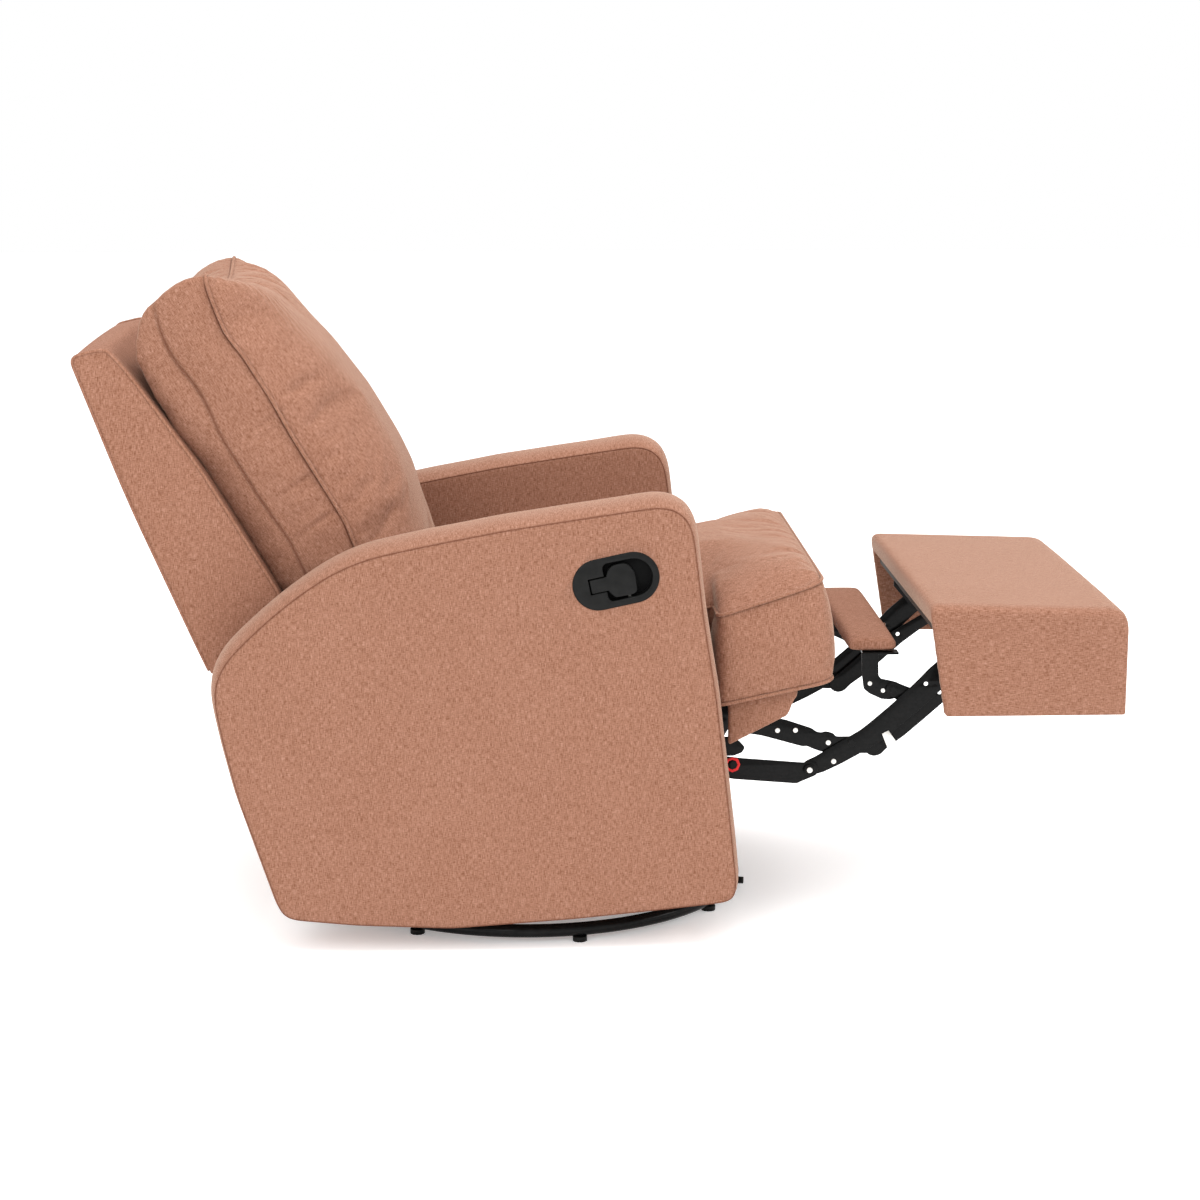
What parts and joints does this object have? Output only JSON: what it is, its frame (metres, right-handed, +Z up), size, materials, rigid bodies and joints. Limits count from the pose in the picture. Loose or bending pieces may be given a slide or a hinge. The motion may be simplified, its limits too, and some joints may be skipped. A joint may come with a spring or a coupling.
{
  "type": "swivel glider recliner",
  "caption": "Upholstered armchair on a swivel ring base, with a gliding body, a reclining back, a folding leg rest and a side release lever.",
  "frame": {"origin": "on the floor, under the middle of the bounding box of the whole chair as shown, with its leg rest out", "axes": "+Z up, +X towards the leg rest, +Y towards the sitter's left arm"},
  "size_m": [1.5314, 0.728, 0.9721],
  "materials": {
    "upholstery": "heathered woven linen-like cloth",
    "satin_black_steel": "satin black",
    "gloss_black_steel": "gloss black",
    "black_plastic": "fine satin",
    "red_plastic": "smooth",
    "timber": "sawn plywood",
    "bright_steel": "plain zinc"
  },
  "bodies": {
    "base": {"base_ring": "gloss_black_steel", "floor_pad_1": "black_plastic", "floor_pad_2": "black_plastic", "floor_pad_3": "black_plastic", "floor_pad_4": "black_plastic", "floor_pad_5": "black_plastic", "floor_pad_6": "black_plastic", "floor_pad_7": "black_plastic", "floor_pad_8": "black_plastic", "base_cross": "gloss_black_steel", "lower_race": "bright_steel", "ball_cage": "bright_steel"},
    "turntable": {"upper_race": "bright_steel", "swivel_plate": "satin_black_steel", "glider_side_left": "satin_black_steel", "glider_side_right": "satin_black_steel"},
    "front_glide_links": {"glide_link_front_left": "satin_black_steel", "glide_link_front_right": "satin_black_steel"},
    "rear_glide_links": {"glide_link_rear_left": "satin_black_steel", "glide_link_rear_right": "satin_black_steel"},
    "chassis": {"carriage_rail_left": "satin_black_steel", "carriage_rail_right": "satin_black_steel", "carriage_cross_front": "satin_black_steel", "carriage_cross_rear": "satin_black_steel", "arm_left": "upholstery", "arm_right": "upholstery", "handle_bezel": "black_plastic", "rear_panel": "upholstery", "mechanism_rail_left": "satin_black_steel", "mechanism_rail_right": "satin_black_steel"},
    "release_lever": {"handle_lever": "black_plastic"},
    "back": {"back_bracket_left": "satin_black_steel", "back_bracket_right": "satin_black_steel", "back_frame": "upholstery", "back_cushion": "upholstery"},
    "lift_links": {"seat_lift_link_left": "satin_black_steel", "seat_lift_link_right": "satin_black_steel"},
    "seat": {"seat_rail_left": "satin_black_steel", "seat_rail_right": "satin_black_steel", "seat_deck": "upholstery", "seat_cushion": "upholstery"},
    "lower_links": {"lower_link_left": "satin_black_steel", "lower_link_right": "satin_black_steel", "link_washer_left": "red_plastic", "link_washer_right": "red_plastic"},
    "cross_links": {"cross_link_left": "satin_black_steel", "cross_link_right": "satin_black_steel", "torque_tube": "satin_black_steel"},
    "long_links": {"long_link_left": "satin_black_steel", "long_link_right": "satin_black_steel"},
    "front_links": {"front_link_left": "satin_black_steel", "front_link_right": "satin_black_steel"},
    "leg_rest": {"footrest_cover": "upholstery", "footrest_board": "timber", "footrest_bracket_left": "satin_black_steel", "footrest_bracket_right": "satin_black_steel"},
    "middle_pad": {"mid_pad": "upholstery", "mid_pad_bracket_left": "satin_black_steel", "mid_pad_bracket_right": "satin_black_steel"}
  },
  "joints": [
    {"name": "swivel", "type": "hinge", "parent": "base", "child": "turntable", "pos_m": [-0.10449, 0, 0.045], "axis": [0, 0, 1], "continuous": true},
    {"name": "front_link_swing", "type": "hinge", "parent": "turntable", "child": "front_glide_links", "pos_m": [0.02551, 0, 0.165], "axis": [0, -1, 0], "range_deg": [0, 28.1]},
    {"name": "rear_link_swing", "type": "hinge", "parent": "turntable", "child": "rear_glide_links", "pos_m": [-0.23449, 0, 0.165], "axis": [0, -1, 0], "range_deg": [0, 28.2]},
    {"name": "glide", "type": "hinge", "parent": "front_glide_links", "child": "chassis", "pos_m": [-0.01174, 0, 0.07761], "axis": [0, 1, 0], "range_deg": [0, 31.7]},
    {"name": "recline", "type": "hinge", "parent": "chassis", "child": "back", "pos_m": [-0.43449, 0, 0.33], "axis": [0, -1, 0], "range_deg": [0, 18]},
    {"name": "seat_lift", "type": "hinge", "parent": "back", "child": "lift_links", "pos_m": [-0.45949, 0, 0.268], "axis": [0, -1, 0], "range_deg": [-37.7, 0]},
    {"name": "seat_tilt", "type": "hinge", "parent": "chassis", "child": "seat", "pos_m": [0.15751, 0, 0.318], "axis": [0, -1, 0], "range_deg": [0, 1.5]},
    {"name": "leg_rest_fold", "type": "hinge", "parent": "seat", "child": "cross_links", "pos_m": [0.19151, 0, 0.306], "axis": [0, 1, 0], "range_deg": [0, 108.76]},
    {"name": "lower_link_turn", "type": "hinge", "parent": "seat", "child": "lower_links", "pos_m": [0.13451, 0, 0.247], "axis": [0, 1, 0], "range_deg": [0, 117]},
    {"name": "long_link_turn", "type": "hinge", "parent": "cross_links", "child": "long_links", "pos_m": [0.37451, 0, 0.273], "axis": [0, 1, 0], "range_deg": [-115.2, 0]},
    {"name": "front_link_turn", "type": "hinge", "parent": "cross_links", "child": "front_links", "pos_m": [0.40951, 0, 0.268], "axis": [0, 1, 0], "range_deg": [-118.9, 0]},
    {"name": "leg_rest_tip", "type": "hinge", "parent": "long_links", "child": "leg_rest", "pos_m": [0.54101, 0, 0.408], "axis": [0, 1, 0], "range_deg": [0, 90.45]},
    {"name": "middle_pad_tip", "type": "hinge", "parent": "front_links", "child": "middle_pad", "pos_m": [0.43651, 0, 0.352], "axis": [0, 1, 0], "range_deg": [0, 100.2]},
    {"name": "release_lever", "type": "hinge", "parent": "chassis", "child": "release_lever", "pos_m": [-0.03217, -0.358, 0.54129], "axis": [0.2079, 0, -0.9781], "range_deg": [0, 32], "stiffness_Nm_per_rad": 3}
  ],
  "couplings": [
    {"joint": "front_link_swing", "follows": "glide", "ratio": 0.88197},
    {"joint": "rear_link_swing", "follows": "glide", "ratio": 0.88386},
    {"joint": "seat_lift", "follows": "recline", "ratio": -2.0911},
    {"joint": "seat_tilt", "follows": "recline", "ratio": 0.082778},
    {"joint": "lower_link_turn", "follows": "leg_rest_fold", "ratio": 1.0753},
    {"joint": "long_link_turn", "follows": "leg_rest_fold", "ratio": -1.0588},
    {"joint": "front_link_turn", "follows": "leg_rest_fold", "ratio": -1.0929},
    {"joint": "leg_rest_tip", "follows": "leg_rest_fold", "ratio": 0.8311},
    {"joint": "middle_pad_tip", "follows": "leg_rest_fold", "ratio": 0.92038}
  ]
}
